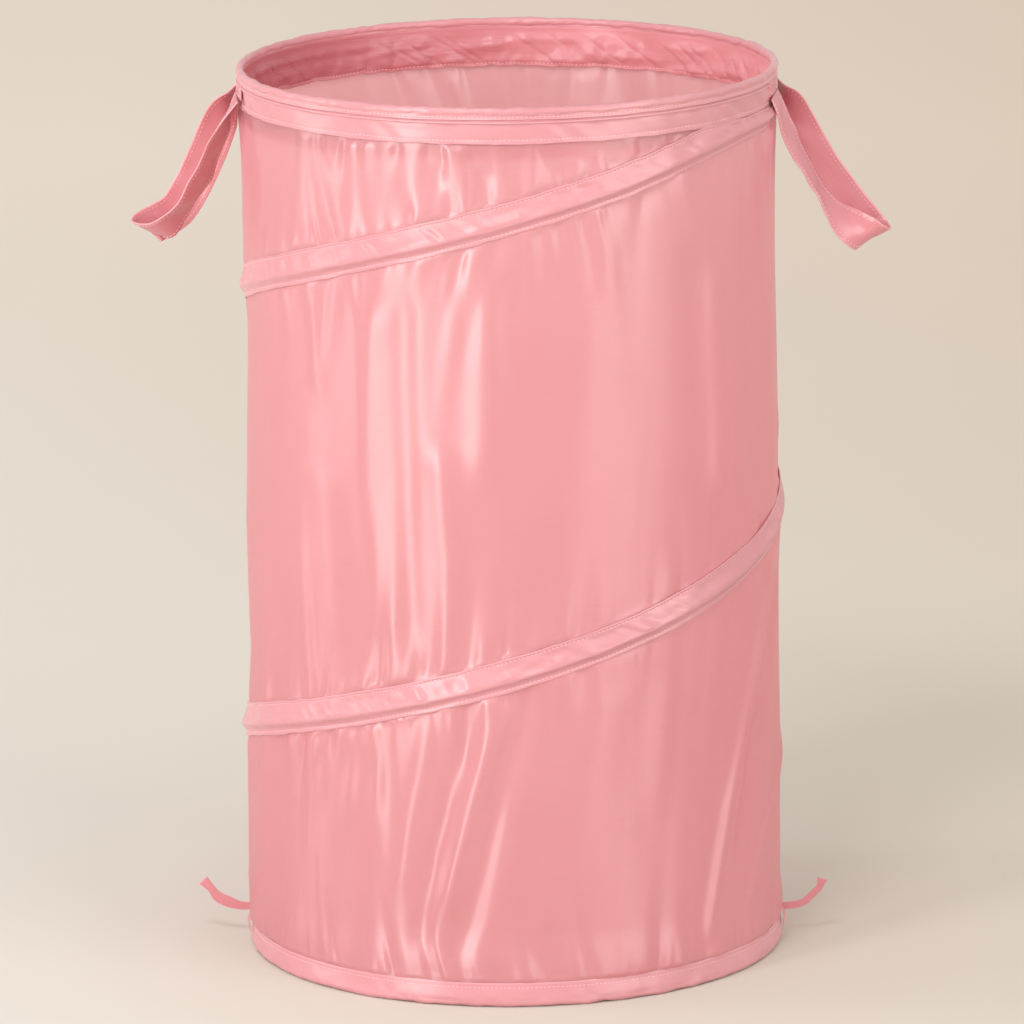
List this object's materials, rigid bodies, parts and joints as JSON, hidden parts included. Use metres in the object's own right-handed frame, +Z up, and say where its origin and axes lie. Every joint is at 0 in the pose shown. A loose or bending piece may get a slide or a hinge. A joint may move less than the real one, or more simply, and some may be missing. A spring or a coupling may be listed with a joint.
{
  "type": "laundry hamper",
  "caption": "Collapsible cylindrical cloth hamper on two wire hoops and a spiral spring, with strap handles and fastening ties.",
  "frame": {"origin": "centre of the base panel's underside, on the floor", "axes": "+Z up the hamper's axis to the rim, -Y to the front as pictured, +X to the right"},
  "size_m": [0.503, 0.3614, 0.6],
  "materials": {
    "satin_cloth": "satin weave, soft sheen",
    "band_cloth": "folded satin strip, stitched edges",
    "lining_cloth": "satin seen from inside, in shade",
    "strap_cloth": "folded satin strap, stitched edges",
    "spring_steel": "bare drawn wire",
    "vinyl": "soft vinyl cap"
  },
  "bodies": {
    "base": {"side_panel": "satin_cloth", "base_panel": "lining_cloth", "base_hem_band": "band_cloth", "base_seam_binding": "lining_cloth", "side_seam_binding": "lining_cloth", "base_hoop": "spring_steel", "base_hoop_ferrule": "spring_steel", "spiral_casing": "band_cloth", "spiral_spring": "spring_steel", "spiral_cap_lower": "vinyl", "tie_loop_left": "strap_cloth", "tie_loop_right": "strap_cloth"},
    "rim": {"rim_casing": "band_cloth", "top_hem_band": "band_cloth", "rim_facing": "lining_cloth", "top_hoop": "spring_steel", "top_hoop_ferrule": "spring_steel", "spiral_cap_upper": "vinyl"},
    "handle_left": {"handle_left": "strap_cloth"},
    "handle_right": {"handle_right": "strap_cloth"},
    "tie_left": {"tie_left": "strap_cloth"},
    "tie_right": {"tie_right": "strap_cloth"}
  },
  "joints": [
    {"name": "collapse", "type": "slide", "parent": "base", "child": "rim", "axis": [0, 0, 1], "range_m": [-0.54, 0], "stiffness_N_per_m": 55, "springref_m": 0.05, "deforming": ["side_panel", "spiral_casing", "spiral_spring", "side_seam_binding"]},
    {"name": "handle_right_swing", "type": "hinge", "parent": "rim", "child": "handle_right", "pos_m": [0.17985, -0.00943, 0.582], "axis": [-0.0523, -0.9986, 0], "range_deg": [-3, 120]},
    {"name": "handle_left_swing", "type": "hinge", "parent": "rim", "child": "handle_left", "pos_m": [-0.18004, 0.00471, 0.582], "axis": [0.0262, 0.9997, 0], "range_deg": [-3, 120]},
    {"name": "tie_right_swing", "type": "hinge", "parent": "base", "child": "tie_right", "pos_m": [0.17769, -0.0062, 0.0216], "axis": [-0.0349, -0.9994, 0], "range_deg": [0, 45]},
    {"name": "tie_left_swing", "type": "hinge", "parent": "base", "child": "tie_left", "pos_m": [-0.17756, 0.0093, 0.0216], "axis": [0.0523, 0.9986, 0], "range_deg": [0, 45]}
  ]
}
